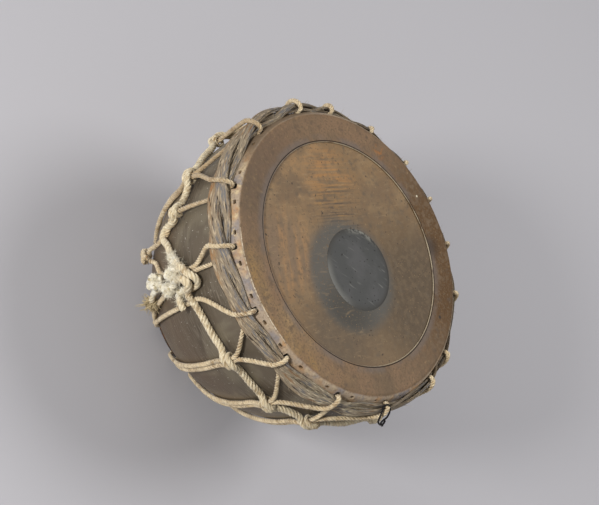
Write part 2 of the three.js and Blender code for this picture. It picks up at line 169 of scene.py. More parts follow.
# Lamps: the name, the way to it from the drum, the size in metres and the power in watts
LAMPS = [("front", (-0.27, -0.86, 0.38), 0.4, 30), ("far", (0.1, 0.5, 0.82), 0.9, 18),
         ("top", (-0.85, -0.2, 0.5), 1.5, 5)]
LAMP_CENTRE = Vector((0, 0, 0.1))
LAMP_REACH = 1.9
SKY_COLOUR = (0.8, 0.8, 0.82, 1)
SKY_STRENGTH = 0.34
FLOOR_SIZE = 8


# Shape of the drum

def cos(angle):
    return math.cos(math.radians(angle))


def sin(angle):
    return math.sin(math.radians(angle))


def mix(a, b, share):
    return a + (b - a) * share


def steps(first, last, count):
    return [mix(first, last, step / count) for step in range(count + 1)]


def ellipse_point(half, slope):
    length = math.hypot(BELLY_RADIUS * cos(slope), half * sin(slope))
    return BELLY_RADIUS ** 2 * cos(slope) / length, half ** 2 * sin(slope) / length


JOIN = ellipse_point(LOWER_HALF, -BOTTOM_SLOPE)
ARC_RADIUS = JOIN[0] - BOTTOM_ARC * cos(BOTTOM_SLOPE)
FOOT_SLOPE = math.degrees(math.acos((FOOT_TOP_RADIUS - ARC_RADIUS) / BOTTOM_ARC))
ARC_HEIGHT = FOOT_HEIGHT + BOTTOM_ARC * sin(FOOT_SLOPE)
BELLY_HEIGHT = ARC_HEIGHT - BOTTOM_ARC * sin(BOTTOM_SLOPE) - JOIN[1]
RIM_JOIN = ellipse_point(UPPER_HALF, RIM_SLOPE)
ROUND_RADIUS = RIM_JOIN[0] - RIM_ROUND * cos(RIM_SLOPE)
ROUND_HEIGHT = BELLY_HEIGHT + RIM_JOIN[1] - RIM_ROUND * sin(RIM_SLOPE)
RIM_HEIGHT = ROUND_HEIGHT + RIM_ROUND
PLAYING_OFFSET = GAP + LINING_THICKNESS + GAP
RING_OFFSET = PLAYING_OFFSET + PLAYING_THICKNESS + GAP


def outline(slope, offset):
    """Radius and height on the kettle's outside where its outward normal has a slope."""
    if slope > RIM_SLOPE:
        reach = RIM_ROUND + offset
        return ROUND_RADIUS + reach * cos(slope), ROUND_HEIGHT + reach * sin(slope)
    if slope < -BOTTOM_SLOPE:
        reach = BOTTOM_ARC + offset
        return ARC_RADIUS + reach * cos(slope), ARC_HEIGHT + reach * sin(slope)
    radius, height = ellipse_point(UPPER_HALF if slope > 0 else LOWER_HALF, slope)
    return radius + offset * cos(slope), BELLY_HEIGHT + height + offset * sin(slope)


def slope_at(height):
    """Slope of the outward normal at a height on the kettle's outside."""
    if height > BELLY_HEIGHT + RIM_JOIN[1]:
        return math.degrees(math.asin(min(1, (height - ROUND_HEIGHT) / RIM_ROUND)))
    if height < BELLY_HEIGHT + JOIN[1]:
        return math.degrees(math.asin((height - ARC_HEIGHT) / BOTTOM_ARC))
    half = UPPER_HALF if height > BELLY_HEIGHT else LOWER_HALF
    turn = math.asin((height - BELLY_HEIGHT) / half)
    return math.degrees(math.atan(BELLY_RADIUS / half * math.tan(turn)))


def turned_to(azimuth, radius, height):
    return Vector((radius * cos(azimuth), radius * sin(azimuth), height))


def on_kettle(azimuth, height, offset):
    return turned_to(azimuth, *outline(slope_at(height), offset))


def loop_azimuth(place):
    """Azimuth of a place counted in loops of the lace, smooth between them."""
    count = len(LOOP_AZIMUTHS)

    def at(loop):
        return LOOP_AZIMUTHS[loop % count] - 360 * (loop // count)

    loop = math.floor(place)
    share = place - loop
    a, b, c, d = at(loop - 1), at(loop), at(loop + 1), at(loop + 2)
    here = (c - a) / 2
    there = (d - b) / 2
    return (b + here * share + (3 * (c - b) - 2 * here - there) * share ** 2
            + (2 * (b - c) + here + there) * share ** 3)


# Hoop and the routes of the cords

LACE_REST = GAP + LACE_RADIUS
LACE_LIFTED = GAP + 2 * WAIST_PINCHED + LACE_RADIUS
WAIST_REST = GAP + WAIST_RADIUS
PAIR_HALF = LACE_RADIUS + 0.06
WIRE_OFFSET = 2 * GAP + BEND_ROOM + 2 * LACE_TURNED + WIRE_RADIUS


def hoop_top(azimuth):
    return np.interp(azimuth, *zip(*HOOP_CROWN), period=360)


def hoop_halves(azimuth):
    """Half of the hoop's thickness and half of its height at an azimuth."""
    low = np.interp(azimuth, *zip(*HOOP_EDGE), period=360)
    # Thicker at the upper left, where the thongs have come loose, and thinner on the far side
    swell = 1.3 * max(0, cos(azimuth + 170)) ** 4 - 0.8 * max(0, cos(azimuth - 100)) ** 2
    return HOOP_THICKNESS / 2 + swell, (hoop_top(azimuth) - low) / 2


def on_hoop(azimuth, out, up):
    half_out, half_up = hoop_halves(azimuth)
    slope = slope_at(hoop_top(azimuth) - half_up - 2)
    centre = outline(slope, 2 * GAP + 2 * LACE_PINCHED + half_out)
    radius = centre[0] + cos(slope) * out - sin(slope) * up
    height = centre[1] + sin(slope) * out + cos(slope) * up
    return turned_to(azimuth, radius, height)


def arc_degrees(length, height, offset):
    return math.degrees(length / outline(slope_at(height), offset)[0])


def route(rows, radius=LACE_RADIUS):
    """Points of a cord given one by one: azimuth, height, offset and, where it has its own, radius."""
    return [(on_kettle(*row[:3]), row[3] if len(row) > 3 else radius) for row in rows]


def overhand_knot(azimuth, height, offset, size, radius, turn):
    """An overhand knot as an open trefoil lying on the drum, its two ends leaving on one side."""
    centre = on_kettle(azimuth, height, offset)
    slope = slope_at(height)
    out = turned_to(azimuth, cos(slope), sin(slope))
    along = turned_to(azimuth + 90, 1, 0)
    up = out.cross(along)
    points = []
    for bend in steps(0.5, 2 * math.pi - 0.5, 20):
        far = size * (math.cos(bend) + 2 * math.cos(2 * bend))
        aside = size * (2 * math.sin(2 * bend) - math.sin(bend))
        point = (centre + along * (far * cos(turn) - aside * sin(turn))
                 + up * (far * sin(turn) + aside * cos(turn))
                 + out * (1.04 * size * math.sin(3 * bend)))
        points.append((point, radius))
    return points


def loop_over(loop):
    """The lace climbs over the hoop, dips through the slit and comes down behind.

    Each point has its turn round the hoop, its lean to one side and its radius.
    """
    around = [(-50, -0.75, LACE_RADIUS), (-12, -0.4, LACE_RADIUS), (28, -0.15, LACE_RADIUS),
              (62, 0, LACE_RADIUS), (96, 0.02, 1.75), (135, 0.1, LACE_PINCHED),
              (180, 0.45, LACE_PINCHED), (222, 0.85, 1.65)]
    points = []
    for turn, lean, radius in around:
        azimuth = loop_azimuth(loop) + lean * (LOOP_LEAN if lean < 0.05 else LOOP_RETURN)
        half_out, half_up = hoop_halves(azimuth)
        out = (half_out + GAP + radius) * cos(turn)
        up = (half_up + radius * 0.7) * sin(turn)
        points.append((on_hoop(azimuth, out, up), radius))
    return points


def stem(hitch, side):
    """One strand of a pair, from its hitch down to the wire ring."""
    azimuth, height = HITCH_PLACES[hitch]
    lifted = LACE_REST if hitch == PLAIN_HITCH else LACE_LIFTED

    def place(z, offset):
        return azimuth + side * arc_degrees(PAIR_HALF, z, offset), z, offset

    rest = steps(height - 2.5 * HITCH_REACH, STEM_FOOT, 5)
    return route([
        place(height + HITCH_REACH, lifted),
        place(height - HITCH_REACH, lifted),
        *(place(z, LACE_REST + STEM_LIFT) for z in rest),
    ])


def on_wire_ring(azimuth, out, up):
    radius, height = outline(-WIRE_SLOPE, WIRE_OFFSET + out)
    return turned_to(azimuth, radius + up * sin(WIRE_SLOPE), height + up * cos(WIRE_SLOPE))


def wire_turn(hitch):
    """The lace turns round the wire ring: down outside it, under it and up behind it."""
    azimuth = HITCH_PLACES[hitch][0]
    reach = WIRE_RADIUS + GAP + BEND_ROOM + LACE_TURNED
    half = arc_degrees(PAIR_HALF, 12, WIRE_OFFSET)
    around = [(25, -1), (-35, -0.8), (-90, 0), (-145, 0.8), (-205, 1)]
    return [(on_wire_ring(azimuth + lean * half, reach * cos(turn), reach * sin(turn)), LACE_TURNED)
            for turn, lean in around]


def lace_route():
    """From the tied place, sixteen times over the hoop and back from the wire ring, to the knot."""
    count = len(LOOP_AZIMUTHS)
    tied_azimuth, tied_height = TIED_PLACE

    def beside(side, z):
        return tied_azimuth + side * arc_degrees(PAIR_HALF, z, LACE_LIFTED)

    def tied_strand(side):
        azimuth = beside(side, tied_height)
        return route([(azimuth, tied_height - 10, LACE_REST), (azimuth, tied_height + 6, LACE_REST)])

    plain_foot = HITCH_PLACES[PLAIN_HITCH][0] - arc_degrees(PAIR_HALF, STEM_FOOT, LACE_REST)
    drifting = [(mix(beside(1, tied_height), plain_foot, share), mix(tied_height - 10, STEM_FOOT, share),
                 LACE_REST + STEM_LIFT) for share in (0.2, 0.4, 0.6, 0.8, 1)]
    points = route([(-121, 66, LACE_REST + 2.5), (-118.5, 74, LACE_REST), (-113.5, 82, LACE_REST),
                    (-109.8, 95, LACE_REST), (-108.6, 109, LACE_REST)])
    points += tied_strand(-1)
    for step in range(count):
        hitch = (BROKEN_HITCH - 1 - step) % count
        points += loop_over(hitch)
        if hitch == PLAIN_HITCH:
            points += tied_strand(1)[::-1] + route(drifting)
        else:
            points += stem(hitch, -1)[:2 if hitch == BROKEN_HITCH else 7]
        if hitch != BROKEN_HITCH:
            points += wire_turn(hitch) + stem(hitch, 1)[::-1]
    points += route([(-126.4, 99, LACE_REST), (-125.6, 87, LACE_REST), (-125.4, 75, LACE_REST + 1.5),
                     (-125.6, 67, LACE_REST + 3.5, 1.85)])
    points += overhand_knot(*LACE_KNOT)[::-1]
    return points + route([(-122.6, 67, 10, 1.6), (-121.4, 72, 9.4, 1.3)])


def hitch_turn(hitch, before, after):
    """One tight round turn of the waist rope about a pair of strands, between two more heights."""
    azimuth, height = HITCH_PLACES[hitch]
    single = hitch == BROKEN_HITCH
    half = 0 if single else PAIR_HALF
    middle = azimuth - (arc_degrees(PAIR_HALF, height, LACE_LIFTED) if single else 0)
    lift = TURN_SPREAD if before > after else -TURN_SPREAD

    def place(across, offset, up, radius):
        return (on_kettle(middle + arc_degrees(across, height, offset), height + up, offset), radius)

    def about(turn, up, radius):
        reach = LACE_RADIUS + 0.1 + radius
        across = math.copysign(half, cos(turn)) + 0.84 * reach * cos(turn)
        return place(across, LACE_LIFTED + 0.95 * reach * sin(turn), up, radius)

    over = LACE_LIFTED + LACE_RADIUS + TURN_CROWN
    away = half + LACE_RADIUS + 2 * WAIST_RADIUS
    return [
        place(-away, WAIST_REST + 1.2, (before - height) * 0.2 + lift * 0.25, WAIST_RADIUS),
        about(125, lift, 2.75),
        place(0, over, lift, 2.5),
        about(55, lift, 2.4),
        about(8, lift * 0.75, 1.9),
        about(-38, lift * 0.4, 1.6),
        place(half + 0.6, GAP + WAIST_PINCHED, lift * 0.15, WAIST_PINCHED),
        place(-half - 0.6, GAP + WAIST_PINCHED, -lift * 0.15, WAIST_PINCHED),
        about(218, -lift * 0.4, 1.6),
        about(172, -lift * 0.75, 1.9),
        about(125, -lift, 2.4),
        place(0, over, -lift, 2.5),
        about(55, -lift, 2.75),
        place(away - (4 if single else 0), WAIST_REST + 1.2, (after - height) * 0.2 - lift * 0.25,
              WAIST_RADIUS),
    ]


def waist_route():
    """From the frayed end up through three knots, round the drum from hitch to hitch, and back."""
    count = len(HITCH_PLACES)
    points = route([(-103.8, 61, 6.6, 1.8), (-103.8, 66, 7.6, 2.6), (-104.4, 72, 8.6, 2.6),
                    (-105.8, 78, 8.8, 2.3)])
    points += overhand_knot(*END_KNOT)[::-1]
    points += route([(-107, 94, 9, 2.4), (-105, 99, 9.4, 2.6)])
    points += overhand_knot(*LOW_KNOT)[::-1] + overhand_knot(*ROPE_KNOT)[::-1]
    points += route([
        (-104.6, 130, 12.5), (-102.6, 134.6, 11.6, 3.9), (-100.9, 131.6, 9.4, 3.2), (-100.6, 127.6, 7.6),
        (-98.4, 126.2, 6.4), (-94.6, 128.2, 4.4), (-91.2, 129.4, WAIST_REST), (-86, 130.8, WAIST_REST),
        (-82, 131.6, WAIST_REST)], WAIST_RADIUS)
    for step in range(1, count):
        hitch = (BROKEN_HITCH - 1 - step) % count
        before = HITCH_PLACES[(hitch + 1) % count]
        here = HITCH_PLACES[hitch]
        if step > 1:
            wrap = 360 if before[0] > here[0] else 0
            points += route([(mix(before[0] - wrap, here[0], 0.5), mix(before[1], here[1], 0.5),
                              WAIST_REST)], WAIST_RADIUS)
        after = 98 if hitch == BROKEN_HITCH else HITCH_PLACES[hitch - 1][1]
        points += hitch_turn(hitch, before[1], after)
    return points + route([
        (-127.6, 98, WAIST_REST + 0.6), (-125, 94.6, WAIST_REST + 0.6), (-120.2, 103.5, WAIST_REST + 0.4),
        (-115.6, 109.6, WAIST_REST + 0.8), (-112.6, 115.5, 5.8), (-110.9, 123, 9),
        (-108.5, 130.5, 11.4, 3.3), (-105.6, 137, 11, 3.3), (-103.2, 141, 7.6), (-101.4, 137.6, 4, 2.6),
        (-101, 128, 3.2, 2.6),
        (-101.4, 120, 4.2, 2.8), (-100.4, 115, 6.6, 3), (-98.2, 115.4, 7.8), (-95.6, 116.2, 8, 3),
        (-94.9, 116.4, 8, 2.2)], WAIST_RADIUS)


# Making meshes

def smooth_line(points, spacing):
    """The cord's smooth centre line through its points, as even places, and its radius there."""
    line = np.array([tuple(point) for point, _ in points])
    radii = np.array([radius for _, radius in points], float)
    line = np.vstack([2 * line[0] - line[1], line, 2 * line[-1] - line[-2]])
    gaps = np.sqrt(np.linalg.norm(np.diff(line, axis=0), axis=1))
    share = np.linspace(0, 1, 12, endpoint=False)[:, None]
    dense, thick = [], []
    for i in range(1, len(line) - 2):
        before, here, after = gaps[i - 1], gaps[i], gaps[i + 1]
        p0, p1, p2, p3 = line[i - 1:i + 3]
        leave = ((p1 - p0) / before - (p2 - p0) / (before + here) + (p2 - p1) / here) * here
        arrive = ((p2 - p1) / here - (p3 - p1) / (here + after) + (p3 - p2) / after) * here
        dense.append(p1 + leave * share + (3 * (p2 - p1) - 2 * leave - arrive) * share ** 2
                     + (2 * (p1 - p2) + leave + arrive) * share ** 3)
        thick.append(mix(radii[i - 1], radii[i], share[:, 0]))
    dense = np.vstack([*dense, line[-2:-1]])
    thick = np.concatenate([*thick, radii[-1:]])
    along = np.concatenate([[0], np.cumsum(np.linalg.norm(np.diff(dense, axis=0), axis=1))])
    places = np.linspace(0, along[-1], max(2, round(along[-1] / spacing) + 1))
    even = np.stack([np.interp(places, along, dense[:, axis]) for axis in range(3)], 1)
    return even, np.interp(places, along, thick), places


def cord_frames(line):
    """Two directions across the line at each place, turned as little as can be."""
    tangents = np.gradient(line, axis=0)
    tangents /= np.linalg.norm(tangents, axis=1)[:, None]
    across = np.cross(tangents[0], (0.1, 0.2, 1.0))
    sides = []
    for tangent in tangents:
        across = across - tangent * across.dot(tangent)
        across /= np.linalg.norm(across)
        sides.append(across)
    sides = np.array(sides)
    return sides, np.cross(tangents, sides)


def ring_mesh(name, rings, lengths):
    """A closed mesh from rings of points, with a map of the turn and the length in metres."""
    count, sides = rings.shape[:2]
    base = np.arange(count - 1)[:, None] * sides
    side = np.arange(sides)[None, :]
    after = (side + 1) % sides
    faces = np.stack([base + side, base + after, base + after + sides, base + side + sides], 2)
    faces = faces.reshape(-1, 4).tolist()
    faces.append(list(range(sides))[::-1])
    faces.append(list(range((count - 1) * sides, count * sides)))
    mesh = bpy.data.meshes.new(name)
    mesh.from_pydata((rings.reshape(-1, 3) * MM).tolist(), [], faces)
    turn = np.stack([side + 0 * base, side + 1 + 0 * base] * 2, 2)[:, :, [0, 1, 3, 2]] / sides
    run = np.stack([0 * side + lengths[:-1, None]] * 2 + [0 * side + lengths[1:, None]] * 2, 2) * MM
    chart = np.zeros((len(mesh.loops), 2))
    chart[:turn.size] = np.stack([turn.reshape(-1), run.reshape(-1)], 1)
    mesh.uv_layers.new(name="Lay").data.foreach_set("uv", chart.reshape(-1))
    mesh.polygons.foreach_set("use_smooth", [True] * len(mesh.polygons))
    mesh.validate()
    made = bpy.data.objects.new(name, mesh)
    bpy.context.scene.collection.objects.link(made)
    return made


def laid_cord(name, points, strands, lay, spacing, depth, frayed=()):
    """A cord laid up from strands, whose grooves wind round it once in each lay.

    Its strands are fluffed up within the near distance of each frayed place, and even past the far.
    """
    line, radii, lengths = smooth_line(points, spacing)
    across, beside = cord_frames(line)
    corner = np.array([-0.5, -0.3, -0.1, 0.1, 0.3])
    each = len(corner)
    turns = np.concatenate([(k + corner) / strands for k in range(strands)]) * 2 * math.pi
    half = math.pi / strands
    strand = math.sin(half) / (1 + math.sin(half))
    centre = 1 - strand
    local = np.tile(corner / strands, strands) * 2 * math.pi
    lobes = centre * np.cos(local) + np.sqrt(np.maximum(0, strand ** 2 - (centre * np.sin(local)) ** 2))
    lobes = mix(1, lobes, depth)
    angle = turns[None, :] + 2 * math.pi * lengths[:, None] / lay
    wobble = np.array([[noise.noise(Vector((math.cos(t) * 1.3, math.sin(t) * 1.3, s * 0.16)))
                        for t in turns[::each]] for s in lengths])
    fluff = np.zeros(len(line))
    for place, near, far in frayed:
        away = np.linalg.norm(line - np.array(place), axis=1)
        fluff = np.maximum(fluff, np.clip((far - away) / (far - near), 0, 1))
    tufts = np.array([[noise.noise(Vector((math.cos(t) * 2.1, math.sin(t) * 2.1, s * 0.42)))
                       + 0.6 * noise.noise(Vector((math.cos(t) * 5, math.sin(t) * 5, s * 0.9)))
                       if soft else 0 for t in turns] for s, soft in zip(lengths, fluff)])
    # Strands are uneven by 7 % of the radius, and fluffed ones by up to 80 %.
    lobes = mix(lobes[None, :], 1.02, fluff[:, None])
    reach = radii[:, None] * lobes * (1 + 0.07 * np.repeat(wobble, each, axis=1)
                                      + 0.8 * fluff[:, None] * tufts)
    rings = (line[:, None, :] + across[:, None, :] * (reach * np.cos(angle))[:, :, None]
             + beside[:, None, :] * (reach * np.sin(angle))[:, :, None])
    return ring_mesh(name, rings, lengths)


def alone(made):
    """Selects one piece and makes it the active one."""
    bpy.ops.object.select_all(action="DESELECT")
    made.select_set(True)
    bpy.context.view_layer.objects.active = made


def turned_piece(name, profile, count):
    """A profile is drawn by extruding a point, spun round the axis and closed."""
    bpy.ops.object.select_all(action="DESELECT")
    bpy.ops.mesh.primitive_plane_add(size=MM)
    made = bpy.context.object
    made.name = name
    bpy.ops.object.mode_set(mode="EDIT")
    bpy.ops.mesh.merge(type="CENTER")
    places = [Vector((radius * MM, 0, height * MM)) for radius, height in profile]
    bpy.ops.transform.translate(value=places[0])
    for here, there in zip(places, places[1:]):
        bpy.ops.mesh.extrude_region_move(TRANSFORM_OT_translate={"value": there - here})
    bpy.ops.mesh.select_all(action="SELECT")
    bpy.ops.mesh.spin(steps=count, angle=2 * math.pi, center=(0, 0, 0), axis=(0, 0, 1))
    bpy.ops.mesh.select_all(action="SELECT")
    bpy.ops.mesh.remove_doubles(threshold=0.005 * MM)
    bpy.ops.mesh.normals_make_consistent(inside=False)
    bpy.ops.object.mode_set(mode="OBJECT")
    bpy.ops.object.shade_smooth_by_angle(angle=math.radians(40))
    return made


def roughened(made, amount, name):
    """Slow, shallow unevenness of a hand-made surface."""
    clouds = bpy.data.textures.new(name, "CLOUDS")
    clouds.noise_scale = WAVE_LENGTH * MM
    clouds.noise_depth = 2
    alone(made)
    uneven = made.modifiers.new(name, "DISPLACE")
    uneven.texture = clouds
    uneven.texture_coords = "LOCAL"
    uneven.strength = amount * MM
    bpy.ops.object.modifier_apply(modifier=uneven.name)


def cut_away(made, cutters):
    """Takes the joined cutters out of a piece."""
    alone(cutters[0])
    for cutter in cutters:
        cutter.select_set(True)
    bpy.ops.object.join()
    tool = bpy.context.object
    alone(made)
    slits = made.modifiers.new("Slits", "BOOLEAN")
    slits.object = tool
    slits.operation = "DIFFERENCE"
    slits.solver = "EXACT"
    bpy.ops.object.modifier_apply(modifier=slits.name)
    bpy.data.objects.remove(tool)


def finished(made, material, slot, *nodes):
    """A piece gets its finish, rides on the drum and stands for its CAD nodes."""
    made.data.materials.clear()
    made.data.materials.append(material)
    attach(made, "root")
    if nodes:
        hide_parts(*nodes)


# Materials

def linear(colour):
    """An sRGB hex colour as linear red, green, blue and alpha."""
    parts = [int(colour[i:i + 2], 16) / 255 for i in (1, 3, 5)]
    return [part / 12.92 if part <= 0.04045 else ((part + 0.055) / 1.055) ** 2.4 for part in parts] + [1]


def add_node(tree, kind, values, **settings):
    """Adds a node: its settings, then its inputs, each a value or another node's output."""
    made = tree.nodes.new("ShaderNode" + kind)
    for name, value in settings.items():
        setattr(made, name, value)
    for name, value in values.items():
        if isinstance(value, bpy.types.NodeSocket):
            tree.links.new(value, made.inputs[name])
        else:
            made.inputs[name].default_value = value
    return made


class Finish:
    """A finish in the making: the shader's own constants, then masks, then coats of colour."""

    def __init__(self, name, **surface):
        self.material = bpy.data.materials.new(name)
        self.material.use_nodes = True
        self.tree = self.material.node_tree
        self.shader = self.tree.nodes["Principled BSDF"]
        for socket, value in surface.items():
            self.shader.inputs[socket.replace("_", " ")].default_value = value
        where = add_node(self.tree, "TexCoord", {})
        self.places = where.outputs["Object"]
        self.lay = where.outputs["UV"]

    def patches(self, size, low, high, detail=3, stretch=(1, 1, 1), turn=0, warp=0, on_lay=False):
        """A soft mask of patches of about a size in millimetres, drawn out along some directions.

        It is 0 at the low limit of the noise and 1 at the high one. On the lay of a cord or thong the
        first direction runs round it, in thousandths of a turn, and the second along it.
        """
        laid = add_node(self.tree, "Mapping", {
            "Vector": self.lay if on_lay else self.places, "Scale": stretch,
            "Rotation": (0, 0, math.radians(turn))}, vector_type="TEXTURE")
        cloud = add_node(self.tree, "TexNoise", {
            "Vector": laid.outputs[0], "Scale": 1000 / size, "Detail": detail, "Distortion": warp})
        mask = add_node(self.tree, "MapRange", {
            "Value": cloud.outputs[0], "From Min": low, "From Max": high}, interpolation_type="SMOOTHSTEP")
        return mask.outputs[0]

    def fading(self, full, none, centre=(0, 0, 0), ways=(1, 1, 1)):
        """A mask that fades from 1 at a full distance from a place to 0 at another, either way round.

        Only the ways given count: (1, 1, 0) measures from the drum's axis, (0, 0, 1) up from its foot.
        """
        apart = add_node(self.tree, "VectorMath", {
            0: self.places, 1: ways, 2: [-part * MM for part in centre]}, operation="MULTIPLY_ADD")
        away = add_node(self.tree, "VectorMath", {0: apart.outputs[0]}, operation="LENGTH")
        mask = add_node(self.tree, "MapRange", {
            "Value": away.outputs["Value"], "From Min": none * MM, "From Max": full * MM},
            interpolation_type="SMOOTHSTEP")
        return mask.outputs[0]

    def coated(self, ground, coats, height=None, strength=0, depth=0, invert=False):
        """Lays colours over the ground, each through the product of its masks, and a relief over all.

        The relief's depth is in millimetres.
        """
        shade = linear(ground)
        for *masks, colour in coats:
            through = masks[0]
            for mask in masks[1:]:
                both = add_node(self.tree, "Math", {0: through, 1: mask}, operation="MULTIPLY")
                through = both.outputs[0]
            coat = add_node(self.tree, "Mix", {0: through, 6: shade, 7: linear(colour)},
                            data_type="RGBA")
            shade = coat.outputs[2]
        self.tree.links.new(shade, self.shader.inputs["Base Color"])
        if height is not None:
            relief = add_node(self.tree, "Bump", {
                "Strength": strength, "Distance": depth * MM, "Height": height}, invert=invert)
            self.tree.links.new(relief.outputs[0], self.shader.inputs["Normal"])
        return self.material


def plain(name, colour, roughness=0.95, specular=0.1):
    """A matt finish of one colour, for paper and for fibres too thin to show a pattern."""
    finish = Finish(name, Roughness=roughness, Specular_IOR_Level=specular, Base_Color=linear(colour))
    return finish.material


def patinated_brass(colours):
    """Turned brass gone dull and dark, with rings of the turning, paler rubbed places, specks, and painted
    light towards the foot.
    """
    brass = Finish("patinated_brass", Metallic=0.55, Roughness=0.5)
    # The turning leaves rings about 1 mm high, and the patina lies in patches of some centimetres.
    # Specks and scratches are finer than 0.5 mm on the metal and are drawn coarser to show.
    rings = brass.patches(14, 0.42, 0.68, 4, (1, 1, 0.07))
    blotches = brass.patches(38, 0.4, 0.72, 4)
    olive = brass.patches(55, 0.45, 0.62, warp=1.5)
    specks = brass.patches(1.6, 0.735, 0.76, 1)
    scratches = brass.patches(3, 0.68, 0.72, 2, (1, 8, 1), 30)
    # Painted light: the kettle is painted lighter below 70 mm, fading out by 125 mm.
    under = brass.fading(70, 125, ways=(0, 0, 1))
    return brass.coated(colours.metal, [
        (blotches, "#5c5245"), (olive, "#7f7562"), (rings, blotches, "#8d8270"),
        (under, 0.45, "#86705a"), (scratches, "#857b6a"), (specks, "#cfcabd")], rings, 0.3, 0.4)


def playing_hide(colours):
    """Scraped goat hide, browned by hands: orange streaks one way, slate smudges off the paste, and painted
    shade on its +Y side.
    """
    hide = Finish("goat_hide", Roughness=0.62, Specular_IOR_Level=0.22)
    # Stains are some centimetres wide, and the strokes of scraping and rubbing 2 to 7 mm.
    # Pores and specks of about 0.5 mm are drawn at 1.5 to 3 mm to show.
    clouds = hide.patches(48, 0.4, 0.66, 4)
    tan = hide.patches(26, 0.44, 0.7, 4, warp=0.6)
    mottled = hide.patches(5, 0.42, 0.66, 6)
    brushed = hide.patches(2.6, 0.42, 0.62, 5, (14, 1, 1), 76)
    scored = hide.patches(1.7, 0.5, 0.62, 4, (20, 1, 1), 77)
    drawn = hide.patches(7, 0.42, 0.64, 4, (9, 1, 1), -22)
    between = hide.patches(7, 0.64, 0.42, 4, (9, 1, 1), -22)
    grit = hide.patches(2.2, 0.58, 0.74, 4)
    motes = hide.patches(1.5, 0.68, 0.73, 2)
    grime = hide.patches(6, 0.5, 0.85, 6)
    flecks = hide.patches(2.6, 0.55, 0.95, 5, (4, 1, 1), 80)
    dots = hide.patches(3.2, 0.72, 0.76, 1)
    # Places on the head
    top = hide.fading(14, 60, (-78, -12, HEAD_TOP))
    warm = hide.fading(8, 38, (-64, 12, HEAD_TOP))
    lower = hide.fading(8, 40, (-36, 6, HEAD_TOP))
    left = hide.fading(12, 52, (-24, -74, HEAD_TOP))
    low = hide.fading(12, 66, (60, -54, HEAD_TOP))
    under = hide.fading(8, 42, (44, -32, HEAD_TOP))
    # Painted shade: the head is painted darker towards +Y, round (62, 58), and the pale flecks lie only
    # outside that painted shade.
    painted_shade_right = hide.fading(28, 112, (62, 58, HEAD_TOP))
    outside_painted_shade = hide.fading(112, 28, (62, 58, HEAD_TOP))
    halo = hide.fading(41, 55, (17, -11, HEAD_TOP))
    clean = hide.fading(55, 41, (17, -11, HEAD_TOP))
    return hide.coated(colours.hide, [
        (clouds, "#745e46"), (tan, "#8b7252"), (top, tan, "#94744f"), (warm, brushed, "#a17648"),
        (left, drawn, "#9b7751"), (left, between, "#7c6650"), (lower, 0.6, "#715d46"),
        (lower, scored, "#54463a"), (lower, brushed, tan, "#9c7642"), (painted_shade_right, "#584937"),
        (low, 0.8, "#574b3d"), (mottled, 0.4, "#75624a"), (halo, 0.9, "#54524d"),
        (halo, under, "#46423b"), (grit, "#655340"), (grime, clean, "#5f5242"),
        (flecks, outside_painted_shade, "#9a8261"), (motes, 0.5, "#a98c63"), (dots, "#4a3d30")], grit, 0.3, 0.3)


